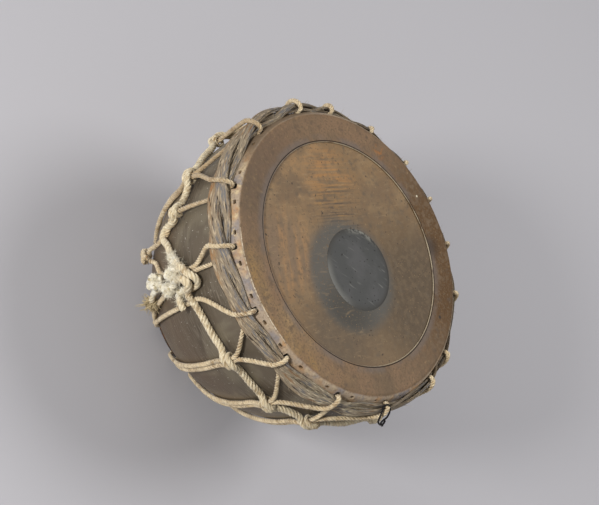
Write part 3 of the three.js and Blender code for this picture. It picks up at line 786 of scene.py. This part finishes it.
def ring_hide(colours):
    """Thicker hide round the head: greyer, with a painted highlight on the shoulder and orange just inside
    it, painted lighter on the near side and darker on the far side.
    """
    hide = Finish("ring_hide", Roughness=0.65, Specular_IOR_Level=0.22)

    def from_axis(full, none):
        return hide.fading(full, none, ways=(1, 1, 0))

    def near(full, none, x, y, height=SHOULDER_TOP):
        return hide.fading(full, none, (x, y, height))

    # Stains are some centimetres wide, and the hide's grain about 5 mm. Pores of 0.5 mm are drawn
    # at 1.8 mm and scuffs of 1 mm at 3 mm to show.
    clouds = hide.patches(34, 0.4, 0.68, 4)
    rough = hide.patches(5, 0.42, 0.62, 4)
    fine = hide.patches(1.8, 0.5, 0.7, 2)
    grime = hide.patches(7, 0.5, 0.85, 6)
    flecks = hide.patches(3, 0.55, 0.95, 5)
    # Rings round the axis: the cut inner edge and the painted shade in its seam, the flat, the shoulder
    # with a painted highlight, the skirt
    inner = ROUND_RADIUS - RING_WIDTH
    cut = from_axis(inner + 0.35, inner + 0.6), near(80, 30, -20, -118), hide.patches(9, 0.3, 0.55, 5)
    # Painted shade: a dark line in the seam's groove beside the inner edge.
    seam_shade = from_axis(inner + 1.5, inner + 1.9), from_axis(inner + 1, inner + 0.8)
    cool = from_axis(inner + 3, inner + 9), hide.patches(24, 0.34, 0.56)
    band = (from_axis(117, 104), from_axis(119.5, 122), hide.patches(30, 0.4, 0.62, 4),
            near(30, 100, 32, -112))
    # Painted highlight: a pale line along the shoulder's bend, strongest round (-6, -121).
    shoulder_highlight = (from_axis(121.9, 121.4), from_axis(122.1, 122.7), near(34, 62, -6, -121),
            hide.patches(3, 0.3, 0.5, 4))
    dusted = from_axis(121, 119), near(30, 62, -62, -106), rough
    flat = from_axis(121.6, 123.6)
    skirt = from_axis(123.6, 121.6)
    pale = skirt, hide.patches(5, 0.46, 0.76, 5)
    return hide.coated(colours.ring, [
        # Painted light and shade: lighter on the near side round (40, -112), darker on the far side round
        # (40, 110).
        (clouds, "#6b5843"), (near(20, 85, 40, -112), clouds, "#a0825a"), (*band, "#8f7146"),
        (near(20, 75, -92, -62, SHOULDER_TOP + 1), 0.5, "#55463b"), (near(40, 130, 40, 110), "#583e20"),
        (skirt, "#a3917c"), (skirt, hide.patches(15, 0.48, 0.66, 4), "#ad8861"),
        (skirt, hide.patches(20, 0.48, 0.64, 4, turn=40), "#857d79"), (*pale, "#b5a184"),
        (*dusted, *pale, "#c9b48e"), (*shoulder_highlight, "#cdbfa6"), (rough, clouds, flat, "#6f5b45"),
        (fine, flat, "#66543f"), (skirt, fine, 0.55, "#75614c"),
        (skirt, near(30, 72, -120, -22, SHOULDER_TOP - 3), "#6e5d4a"), (grime, flat, "#57483a"),
        (flecks, flat, "#987c58"), (*cool, 0.65, "#6b6058"),
        # A stain, a bared patch, a nick and a chip on the side away from the waist rope's knots
        (near(2, 15, 24, 98, HEAD_TOP), 0.7, "#3b2d20"), (near(2, 10, -70, 84, HEAD_TOP), rough, "#8f6238"),
        (near(0.8, 2.4, 82, 71, HEAD_TOP), "#3b2f24"), (near(0.5, 1.4, -21.7, 108.4, HEAD_TOP), "#d8cdb4"),
        (*cut, "#a0927a"), (*seam_shade, "#2f261d")], rough, 0.4, 0.5)


def iron_paste(colours):
    """Layers of iron filings, flour and soot, rubbed smooth: slate with scuffs and small pits."""
    paste = Finish("iron_paste", Roughness=0.6, Specular_IOR_Level=0.25)
    # Scuffs are about 2 cm wide and strokes of rubbing 3 mm. Pits of 0.5 mm are drawn at 2.4 mm.
    scuffs = paste.patches(22, 0.42, 0.7, 4)
    rubbed = paste.patches(3, 0.6, 0.74, 4, (6, 1, 1), 40)
    pits = paste.patches(2.4, 0.71, 0.75, 1)
    crumbled = paste.patches(4, 0.4, 0.6, 4)
    edge = paste.fading(36, 29, (PASTE_OFFSET, 0, HEAD_TOP))
    # Painted highlight: the paste's edge is painted lighter on its near side, round (18.2, -35).
    front = paste.fading(12, 30, (PASTE_OFFSET + 3, -35, HEAD_TOP))
    # Crumbled paste and a painted highlight: the far edge, round (-10, 20), is painted pale.
    behind = paste.fading(8, 22, (-10, 20, HEAD_TOP))
    return paste.coated(colours.paste, [
        (scuffs, "#4d4c4b"), (rubbed, "#64635f"), (edge, "#3f3d39"), (edge, front, "#676661"),
        (edge, behind, crumbled, "#85837a"), (pits, "#26231f")], pits, 0.6, 0.6, invert=True)


def raw_thong(colours):
    """Twisted raw leather: fibres along the thong, orange-brown below, slate and dusty above."""
    leather = Finish("raw_thong", Roughness=0.8, Specular_IOR_Level=0.25)
    # A thong is about 20 mm round, so its fibres are 0.8 mm wide and 8 mm long here. Real ones are
    # under 0.3 mm wide, which wouldn't show. Splits, raw streaks and bands are 16 to 40 mm long.
    fibres = leather.patches(40, 0.42, 0.66, 6, (1, 0.2, 1), on_lay=True)
    splits = leather.patches(55, 0.58, 0.66, 4, (1, 0.3, 1), on_lay=True)
    raw = leather.patches(160, 0.54, 0.7, 5, (1, 0.25, 1), on_lay=True)
    bands = leather.patches(230, 0.42, 0.58, 3, (1, 0.12, 1), on_lay=True)
    between = leather.patches(230, 0.58, 0.42, 3, (1, 0.12, 1), on_lay=True)
    high = leather.fading(172, 165, ways=(0, 0, 1))
    low = leather.fading(163, 167, ways=(0, 0, 1))
    pale = leather.fading(20, 62, (108, -84, 170))
    return leather.coated(colours.leather, [
        (bands, "#977f5f"), (high, bands, "#6e6c6b"), (high, between, "#8c7e69"),
        (low, bands, "#8f6842"), (raw, "#86633f"), (fibres, "#b3a186"), (pale, fibres, "#cfc1a4"),
        (splits, "#3d3227")], fibres, 0.9, 0.8)


def cotton_cord(name, ground, light, dirt_and_shade, strands, pale_at=(), grimy_at=()):
    """Cotton laid up from strands: painted shade in the grooves, paler crests, fibres along each strand.

    The cord is white near the pale places and dirtier near the grimy ones.
    """
    cotton = Finish(name, Roughness=0.9, Specular_IOR_Level=0.15, Sheen_Weight=0.25, Sheen_Roughness=0.5)
    # The grooves follow the strands of the mesh and are painted dark with the dirt colour, as shade.
    split = add_node(cotton.tree, "SeparateXYZ", {0: cotton.lay})
    turn = add_node(cotton.tree, "Math", {0: split.outputs[0], 1: float(strands)},
                    operation="MULTIPLY")
    fold = add_node(cotton.tree, "Math", {0: turn.outputs[0], 1: 0.5}, operation="PINGPONG")
    groove_shade = add_node(cotton.tree, "MapRange", {
        "Value": fold.outputs[0], "From Min": 0.13, "From Max": -0.06}, interpolation_type="SMOOTHSTEP")
    # Yarns of 0.3 mm are drawn about 1 mm wide and 7.5 mm long to show.
    dusty = cotton.patches(17, 0.42, 0.66, 4)
    mottled = cotton.patches(4, 0.45, 0.65)
    threads = cotton.patches(60, 0.44, 0.6, 4, (1, 0.125, 1), on_lay=True)
    coats = [(dusty, dirt_and_shade), (mottled, light), (threads, light), (groove_shade.outputs[0], dirt_and_shade)]
    for centre, full, none in grimy_at:
        coats.append((cotton.fading(full, none, centre), 0.55, dirt_and_shade))
    for centre, full, none in pale_at:
        white = cotton.fading(full, none, centre)
        coats += [(white, "#dcd3bb"), (white, mottled, "#efe9d8"),
                  (white, cotton.patches(5, 0.56, 0.66), "#b3a37c")]
    return cotton.coated(ground, coats, threads, 0.7, 0.4)


def iron_wire(colours):
    """Drawn iron wire, brown with old rust in patches of a few millimetres."""
    wire = Finish("iron_wire", Metallic=0.7, Roughness=0.6)
    return wire.coated(colours.wire, [(wire.patches(6, 0.4, 0.6, 4), "#5b3f2b")])


# Sizes and colours that a user would change

class DrumSizes(bpy.types.PropertyGroup):
    """Sizes of the drum's finish, in millimetres."""

    lace_lay: bpy.props.FloatProperty(
        name="Lace lay", description="Length of one turn of the lace's strands, in mm", default=9, min=3)
    waist_lay: bpy.props.FloatProperty(
        name="Rope lay", description="Length of one turn of the waist rope's strands, in mm", default=15,
        min=5)
    unevenness: bpy.props.FloatProperty(
        name="Unevenness", description="Height of the waves of the skins and the paste, in mm",
        default=0.5, min=0)
    turned_sides: bpy.props.IntProperty(
        name="Turned sides", description="Steps round each turned piece", default=256, min=32)


class DrumColours(bpy.types.PropertyGroup):
    """Ground colours as sRGB hex."""

    metal: bpy.props.StringProperty(name="Kettle", description="Patinated metal", default="#6e6353")
    hide: bpy.props.StringProperty(name="Hide", description="Playing skin", default="#826747")
    ring: bpy.props.StringProperty(name="Ring hide", description="Outer ring of skin", default="#7e644b")
    paste: bpy.props.StringProperty(name="Paste", description="Tuning paste", default="#424240")
    leather: bpy.props.StringProperty(name="Thongs", description="Twisted hoop", default="#84735d")
    lace: bpy.props.StringProperty(name="Lace", description="Lacing cord", default="#cab28a")
    rope: bpy.props.StringProperty(name="Rope", description="Waist rope", default="#cdb994")
    wire: bpy.props.StringProperty(name="Wire", description="Base ring", default="#4a4038")
    floor: bpy.props.StringProperty(name="Floor", description="Studio floor", default="#b9b7ba")


# Pieces

class DRUM_OT_kettle(bpy.types.Operator):
    """Turn the metal kettle, wall, lip and foot"""

    bl_idname = "drum.kettle"
    bl_label = "Kettle"

    def execute(self, context):
        sizes, colours = context.scene.drum_sizes, context.scene.drum_colours
        outside = [outline(slope, 0) for slope in steps(-FOOT_SLOPE, RIM_SLOPE, 44)]
        edge = [outline(slope, 0) for slope in steps(RIM_SLOPE, 90, 6)[1:]]
        inside = [outline(slope, -WALL) for slope in steps(RIM_SLOPE, -FOOT_SLOPE, 16)[1:]]
        lip_radius = ROUND_RADIUS - LIP_WIDTH
        kettle = turned_piece("kettle_shell", [
            (0, 0), (FOOT_RADIUS - 1, 0), (FOOT_RADIUS - 0.3, 0.3), (FOOT_RADIUS, 1), *outside, *edge,
            (lip_radius, RIM_HEIGHT), (lip_radius, RIM_HEIGHT - LIP_DEPTH), *inside,
            (FOOT_RADIUS - WALL, WALL), (0, WALL)], sizes.turned_sides)
        finished(kettle, patinated_brass(colours), "kettle_metal", "kettle")
        return {"FINISHED"}


def skin_profile(low, high, inner_radius, lowest_slope):
    """A skin that lies over the lip and hangs down the kettle's side, with rounded edges."""
    upper = steps(90, RIM_SLOPE, 10)
    if lowest_slope < RIM_SLOPE:
        upper += steps(RIM_SLOPE, lowest_slope, 6)[1:]
    middle = (low + high) / 2
    under = [outline(slope, low) for slope in upper]
    over = [outline(slope, high) for slope in upper[::-1]]
    across = steps(ROUND_RADIUS, inner_radius, 14)[1:-1]
    start = [(inner_radius, RIM_HEIGHT + low)]
    if inner_radius:
        start = [(inner_radius + 0.3, RIM_HEIGHT + low)]
        across = across[:-1] + [inner_radius + 2.2]
    hem = [outline(lowest_slope - 0.25, middle)]
    top = [(radius, RIM_HEIGHT + high) for radius in across]
    if inner_radius:
        top += [(inner_radius + out, RIM_HEIGHT + high + up) for out, up in RING_SEAM]
    bottom = [(radius, RIM_HEIGHT + low) for radius in across[::-1]]
    close = [(inner_radius, RIM_HEIGHT + middle), start[0]] if inner_radius else [(0, RIM_HEIGHT + high)]
    return start + bottom + under + hem + over + top + close


class DRUM_OT_head(bpy.types.Operator):
    """Lay the three skins over the lip, cut their slits and put the paste on"""

    bl_idname = "drum.head"
    bl_label = "Head"

    def slit_tools(self):
        """Rounded cutters, three at each loop of the lace."""
        tools = []
        for loop in range(len(LOOP_AZIMUTHS)):
            for share, aside, width, height, top in SLITS:
                azimuth = loop_azimuth(loop + share) + aside
                at = turned_to(azimuth, ROUND_RADIUS + RIM_ROUND, top - height / 2) * MM
                bpy.ops.object.select_all(action="DESELECT")
                bpy.ops.mesh.primitive_cube_add(size=MM, location=at,
                                                rotation=(0, 0, math.radians(azimuth)))
                tool = bpy.context.object
                tool.scale = (SLIT_DEPTH, width, height)
                bpy.ops.object.transform_apply(location=True, rotation=True, scale=True)
                bpy.ops.object.mode_set(mode="EDIT")
                bpy.ops.mesh.select_all(action="SELECT")
                bpy.ops.mesh.bevel(offset=SLIT_ROUND * MM, segments=3)
                bpy.ops.object.mode_set(mode="OBJECT")
                tools.append(tool)
        return tools

    def execute(self, context):
        sizes, colours = context.scene.drum_sizes, context.scene.drum_colours
        skirt = slope_at(RIM_HEIGHT - SKIRT_DROP)
        hide = playing_hide(colours)
        layers = [
            ("lining", GAP, LINING_THICKNESS, ROUND_RADIUS - LINING_WIDTH, LINING_SLOPE, hide, "hide"),
            ("playing", PLAYING_OFFSET, PLAYING_THICKNESS, 0, skirt, hide, "hide"),
            ("ring", RING_OFFSET, RING_THICKNESS, ROUND_RADIUS - RING_WIDTH, skirt, ring_hide(colours),
             "ring_hide"),
        ]
        for name, low, thickness, inner, lowest, material, slot in layers:
            profile = skin_profile(low, low + thickness, inner, lowest)
            made = turned_piece(name + "_hide", profile, sizes.turned_sides)
            if name != "lining":
                cut_away(made, self.slit_tools())
            roughened(made, sizes.unevenness, name)
            finished(made, material, slot, name + "_skin")
        bottom = RIM_HEIGHT + PLAYING_OFFSET + PLAYING_THICKNESS + PASTE_GAP
        crown = [(PASTE_RADIUS * share, bottom + PASTE_HEIGHT * (1 - share ** 5) ** 0.8)
                 for share in steps(0.995, 0, 24)]
        cake = turned_piece("paste_cake", [(0, bottom), (PASTE_RADIUS, bottom), *crown], 128)
        bpy.ops.object.mode_set(mode="EDIT")
        bpy.ops.mesh.select_all(action="SELECT")
        bpy.ops.transform.translate(value=(PASTE_OFFSET * MM, 0, 0))
        bpy.ops.object.mode_set(mode="OBJECT")
        roughened(cake, sizes.unevenness, "paste")
        finished(cake, iron_paste(colours), "paste", "tuning_paste")
        return {"FINISHED"}


class DRUM_OT_hoop(bpy.types.Operator):
    """Twist the three leather thongs into the hoop"""

    bl_idname = "drum.hoop"
    bl_label = "Hoop"

    def execute(self, context):
        material = raw_thong(context.scene.drum_colours)
        for index in range(THONG_COUNT):
            made = self.thong(index)
            finished(made, material, "hoop_leather", f"hoop_thong_{index + 1}")
        return {"FINISHED"}

    def thong(self, index):
        """One thong, flat and split along its fibres, wound round the hoop's middle."""
        count = len(LOOP_AZIMUTHS)
        rings, lengths, length = [], [], 0
        middle = None
        first, last = THONG_SEAM + THONG_CLEAR, THONG_SEAM + count - THONG_CLEAR
        for place in steps(first, last, count * THONG_STEPS):
            turn = -360 * ((place - THONG_SHIFT) / THONG_LAY + index / THONG_COUNT)
            azimuth = loop_azimuth(place)
            half_out, half_up = hoop_halves(azimuth)
            tuck = 0.9 * max(0, sin(turn)) ** 6
            ring = []
            for side in range(THONG_SIDES):
                around = 360 * side / THONG_SIDES
                c, s = cos(around), sin(around)
                boxy = (abs(c) ** 5 + abs(s) ** 5) ** (-1 / 5)
                split = noise.noise(Vector((c * 2.3, s * 2.3 + 9 * index, place * 0.9)))
                split += 0.4 * noise.noise(Vector((c * 5, s * 12 + 9 * index, place * 1.6)))
                split += 0.2 * noise.noise(Vector((c * 9, s * 18 + 9 * index, place * 2)))
                swell = boxy * (1 + 0.22 * split)
                out = THONG_PITCH[0] * cos(turn) - tuck + THONG_FILL[0] * c * swell
                up = THONG_PITCH[1] * sin(turn) + THONG_FILL[1] * s * swell
                ring.append(tuple(on_hoop(azimuth, out * half_out, up * half_up)))
            centre = np.mean(ring, axis=0)
            length += 0 if middle is None else float(np.linalg.norm(centre - middle))
            middle = centre
            rings.append(ring)
            lengths.append(length)
        return ring_mesh(f"thong_{index + 1}", np.array(rings), np.array(lengths))


class DRUM_OT_lace(bpy.types.Operator):
    """Lay the lace over the hoop sixteen times, down to the wire ring and back between"""

    bl_idname = "drum.lace"
    bl_label = "Lace"

    def execute(self, context):
        sizes, colours = context.scene.drum_sizes, context.scene.drum_colours
        fluffy = tuple(on_kettle(*LACE_KNOT[:3]))
        soft = [(point, radius * LACE_SWELL) for point, radius in lace_route()]
        lace = laid_cord("lace_cord", soft, strands=3, lay=sizes.lace_lay, spacing=1.05, depth=0.44,
                         frayed=[(fluffy, 7, 14)])
        cotton = cotton_cord("lace_cotton", colours.lace, "#e2cfab", "#8b6f4c", 3,
                             grimy_at=[(GRIMY_PLACE, 25, 85)])
        finished(lace, cotton, "lace_cord", "lace")
        return {"FINISHED"}


class DRUM_OT_waist_rope(bpy.types.Operator):
    """Tie the waist rope round the belly, with its knots"""

    bl_idname = "drum.waist_rope"
    bl_label = "Waist rope"

    def execute(self, context):
        sizes, colours = context.scene.drum_sizes, context.scene.drum_colours
        ball = tuple(on_kettle(*END_KNOT[:3]))
        rope = laid_cord("waist_cord", waist_route(), strands=4, lay=sizes.waist_lay, spacing=0.9,
                         depth=0.33, frayed=[(WHITE_PLACE, 17, 26), (ball, 8, 14)])
        cotton = cotton_cord("waist_cotton", colours.rope, "#e3d5b5", "#9a825f", 4,
                             [(WHITE_PLACE, 14, 25), (ball, 9, 16)])
        finished(rope, cotton, "waist_cord", "waist_rope")
        return {"FINISHED"}


def fibre_mesh(name, starts, ways, lengths, radius, chance):
    """Fine curled fibres, each a tapering three-sided thread, in one mesh."""
    count = len(starts)
    share = np.array([0, 0.35, 0.7, 1])
    curl = chance.normal(0, 0.45, (count, 3))
    middle = (starts[:, None, :] + ways[:, None, :] * (lengths[:, None] * share)[:, :, None]
              + curl[:, None, :] * (lengths[:, None] * share ** 2)[:, :, None])
    side = np.cross(ways, chance.normal(0, 1, (count, 3)))
    side /= np.linalg.norm(side, axis=1)[:, None]
    other = np.cross(ways, side)
    turns = np.array([0, 1, 2]) * 2 * math.pi / 3
    taper = np.array([1, 0.9, 0.7, 0.3])[None, :, None, None] * radius
    across = (side[:, None, :] * np.cos(turns)[None, :, None]
              + other[:, None, :] * np.sin(turns)[None, :, None])
    points = (middle[:, :, None, :] + across[:, None, :, :] * taper).reshape(-1, 3)
    faces = []
    for first in range(0, 12 * count, 12):
        for step in range(3):
            for turn in range(3):
                a, b = first + 3 * step + turn, first + 3 * step + (turn + 1) % 3
                faces.append((a, b, b + 3, a + 3))
        faces += [(first + 2, first + 1, first), (first + 9, first + 10, first + 11)]
    mesh = bpy.data.meshes.new(name)
    mesh.from_pydata((points * MM).tolist(), [], faces)
    mesh.validate()
    made = bpy.data.objects.new(name, mesh)
    bpy.context.scene.collection.objects.link(made)
    return made


class DRUM_OT_fibres(bpy.types.Operator):
    """Let fibres stand off the cords and the thongs, and fray the waist rope's end"""

    bl_idname = "drum.fibres"
    bl_label = "Loose fibres"

    def execute(self, context):
        colours = context.scene.drum_colours
        chance = np.random.default_rng(7)
        # Loose cotton catches the light as a pale fuzz, and torn leather as darker hairs.
        cotton = plain("loose_cotton", colours.rope)
        pale = plain("white_cotton", "#ded6c0")
        torn = plain("frayed_hide", "#a5957b", 0.9)
        grey = plain("frayed_cotton", "#b6a582")
        # Piece, number, length and radius, finish, slot, and how near to the white knot they stay
        tufts = [("lace_cord", 900, 1.6, 0.07, cotton, "lace_cord", None),
                 ("waist_cord", 500, 1.8, 0.07, cotton, "waist_cord", None),
                 ("waist_cord", 2200, 3.2, 0.13, pale, "waist_cord", 24)]
        tufts += [(f"thong_{index + 1}", 260, 3.6, 0.13, torn, "hoop_leather", None)
                  for index in range(THONG_COUNT)]
        for name, number, reach, radius, finish, slot, near in tufts:
            mesh = bpy.data.objects[name].data
            places = np.array([tuple(vertex.co) for vertex in mesh.vertices]) / MM
            normals = np.array([tuple(vertex.normal) for vertex in mesh.vertices])
            chosen = len(places)
            if near:
                chosen = np.flatnonzero(np.linalg.norm(places - WHITE_PLACE, axis=1) < near)
            chosen = chance.choice(chosen, number)
            ways = 0.7 * normals[chosen] + chance.normal(0, 0.6, (number, 3))
            ways /= np.linalg.norm(ways, axis=1)[:, None]
            lengths = reach * chance.uniform(0.4, 1.3, number)
            fuzz = fibre_mesh(f"fibres_{name}_{number}", places[chosen] - 0.1 * normals[chosen], ways,
                              lengths, radius, chance)
            finished(fuzz, finish, slot)
        # The rope's end hangs down from its knot as a tuft.
        number = 420
        root = np.array(on_kettle(-103.6, 70, 8))
        down = np.array(on_kettle(-103.6, 46, 6)) - root
        starts = root + chance.normal(0, 1.9, (number, 3)) + down * chance.uniform(0, 0.5, (number, 1))
        ways = down / np.linalg.norm(down) + chance.normal(0, 0.6, (number, 3))
        ways /= np.linalg.norm(ways, axis=1)[:, None]
        tuft = fibre_mesh("frayed_end", starts, ways, chance.uniform(3, 7, number), 0.45, chance)
        finished(tuft, grey, "waist_cord")
        return {"FINISHED"}


class DRUM_OT_thread(bpy.types.Operator):
    """Tie a short black thread round the lace's first loop"""

    bl_idname = "drum.thread"
    bl_label = "Thread"

    def execute(self, context):
        radius = 0.9
        points = [(turned_to(*place), radius) for place in [
            (-15.4, 140.6, 176.4), (-14.4, 139.6, 177.6), (-13.2, 136.5, 179.2), (-13.2, 132.6, 181.6),
            (-14.6, 129.8, 183.4), (-16, 130, 181.8), (-16.4, 134, 179.2), (-17.4, 138.4, 177.6),
            (-18.2, 142, 176.4), (-17.2, 144.4, 176), (-15.8, 143.6, 176.4), (-15.4, 141.8, 177.4),
            (-16.4, 141.4, 177.6), (-17.2, 143.4, 176.8), (-16.6, 145.6, 176.4)]]
        thread = laid_cord("black_thread", points, strands=2, lay=3, spacing=0.35, depth=0.3)
        # Black cotton, a little less matt than the cords
        finished(thread, plain("black_thread", "#1d1b1b", 0.85, 0.2), "lace_cord")
        return {"FINISHED"}


class DRUM_OT_wire_ring(bpy.types.Operator):
    """Bend the iron wire ring under the bowl"""

    bl_idname = "drum.wire_ring"
    bl_label = "Wire ring"

    def execute(self, context):
        centre = on_wire_ring(0, 0, 0)
        wire = turned_piece("wire_ring", [
            (centre.x + WIRE_RADIUS * cos(turn), centre.z + WIRE_RADIUS * sin(turn))
            for turn in steps(0, 360, 16)], 160)
        finished(wire, iron_wire(context.scene.drum_colours), "iron_wire", "base_ring")
        return {"FINISHED"}


class DRUM_OT_studio(bpy.types.Operator):
    """Set up the floor, the soft lamps and the camera"""

    bl_idname = "drum.studio"
    bl_label = "Studio"

    def execute(self, context):
        scene = context.scene
        scene.view_settings.view_transform = "Standard"
        bpy.ops.object.select_all(action="DESELECT")
        bpy.ops.mesh.primitive_plane_add(size=FLOOR_SIZE, location=(0, 0, 0))
        floor = context.object
        floor.name = "floor"
        floor.data.materials.append(plain("studio_paper", scene.drum_colours.floor))
        bpy.ops.object.camera_add(location=CAMERA_PLACE)
        camera = context.object
        camera.rotation_euler = Matrix((CAMERA_RIGHT, CAMERA_UP, CAMERA_BACK)).transposed().to_euler()
        camera.data.lens = CAMERA_LENS
        camera.data.sensor_width = SENSOR_WIDTH
        scene.camera = camera
        for name, way, size, power in LAMPS:
            aim = Vector(way)
            bpy.ops.object.light_add(type="AREA", location=LAMP_CENTRE + aim.normalized() * LAMP_REACH)
            lamp = context.object
            lamp.name = name
            lamp.data.shape = "DISK"
            lamp.data.size = size
            lamp.data.energy = power
            lamp.rotation_euler = aim.to_track_quat("Z", "Y").to_euler()
        world = bpy.data.worlds.new("studio_light")
        scene.world = world
        world.use_nodes = True
        sky = world.node_tree.nodes["Background"]
        sky.inputs["Color"].default_value = SKY_COLOUR
        sky.inputs["Strength"].default_value = SKY_STRENGTH
        return {"FINISHED"}


class DRUM_PT_panel(bpy.types.Panel):
    """The drum's pieces, in the order in which they are made"""

    bl_idname = "DRUM_PT_panel"
    bl_label = "Bayan drum"
    bl_space_type = "VIEW_3D"
    bl_region_type = "UI"
    bl_category = "Drum"

    def draw(self, context):
        for group in (context.scene.drum_sizes, context.scene.drum_colours):
            for name in group.bl_rna.properties.keys():
                if name not in ("rna_type", "name"):
                    self.layout.prop(group, name)
        for maker in MAKERS:
            self.layout.operator(maker.bl_idname)


MAKERS = (DRUM_OT_studio, DRUM_OT_lace, DRUM_OT_waist_rope, DRUM_OT_kettle, DRUM_OT_head, DRUM_OT_hoop,
          DRUM_OT_wire_ring, DRUM_OT_fibres, DRUM_OT_thread)
CLASSES = (DrumSizes, DrumColours, *MAKERS, DRUM_PT_panel)


def register():
    for item in CLASSES:
        bpy.utils.register_class(item)
    bpy.types.Scene.drum_sizes = bpy.props.PointerProperty(type=DrumSizes)
    bpy.types.Scene.drum_colours = bpy.props.PointerProperty(type=DrumColours)


def unregister():
    del bpy.types.Scene.drum_colours
    del bpy.types.Scene.drum_sizes
    for item in reversed(CLASSES):
        bpy.utils.unregister_class(item)


def main():
    register()
    for maker in MAKERS:
        group, name = maker.bl_idname.split(".")
        getattr(getattr(bpy.ops, group), name)()


if __name__ == "__main__":
    main()
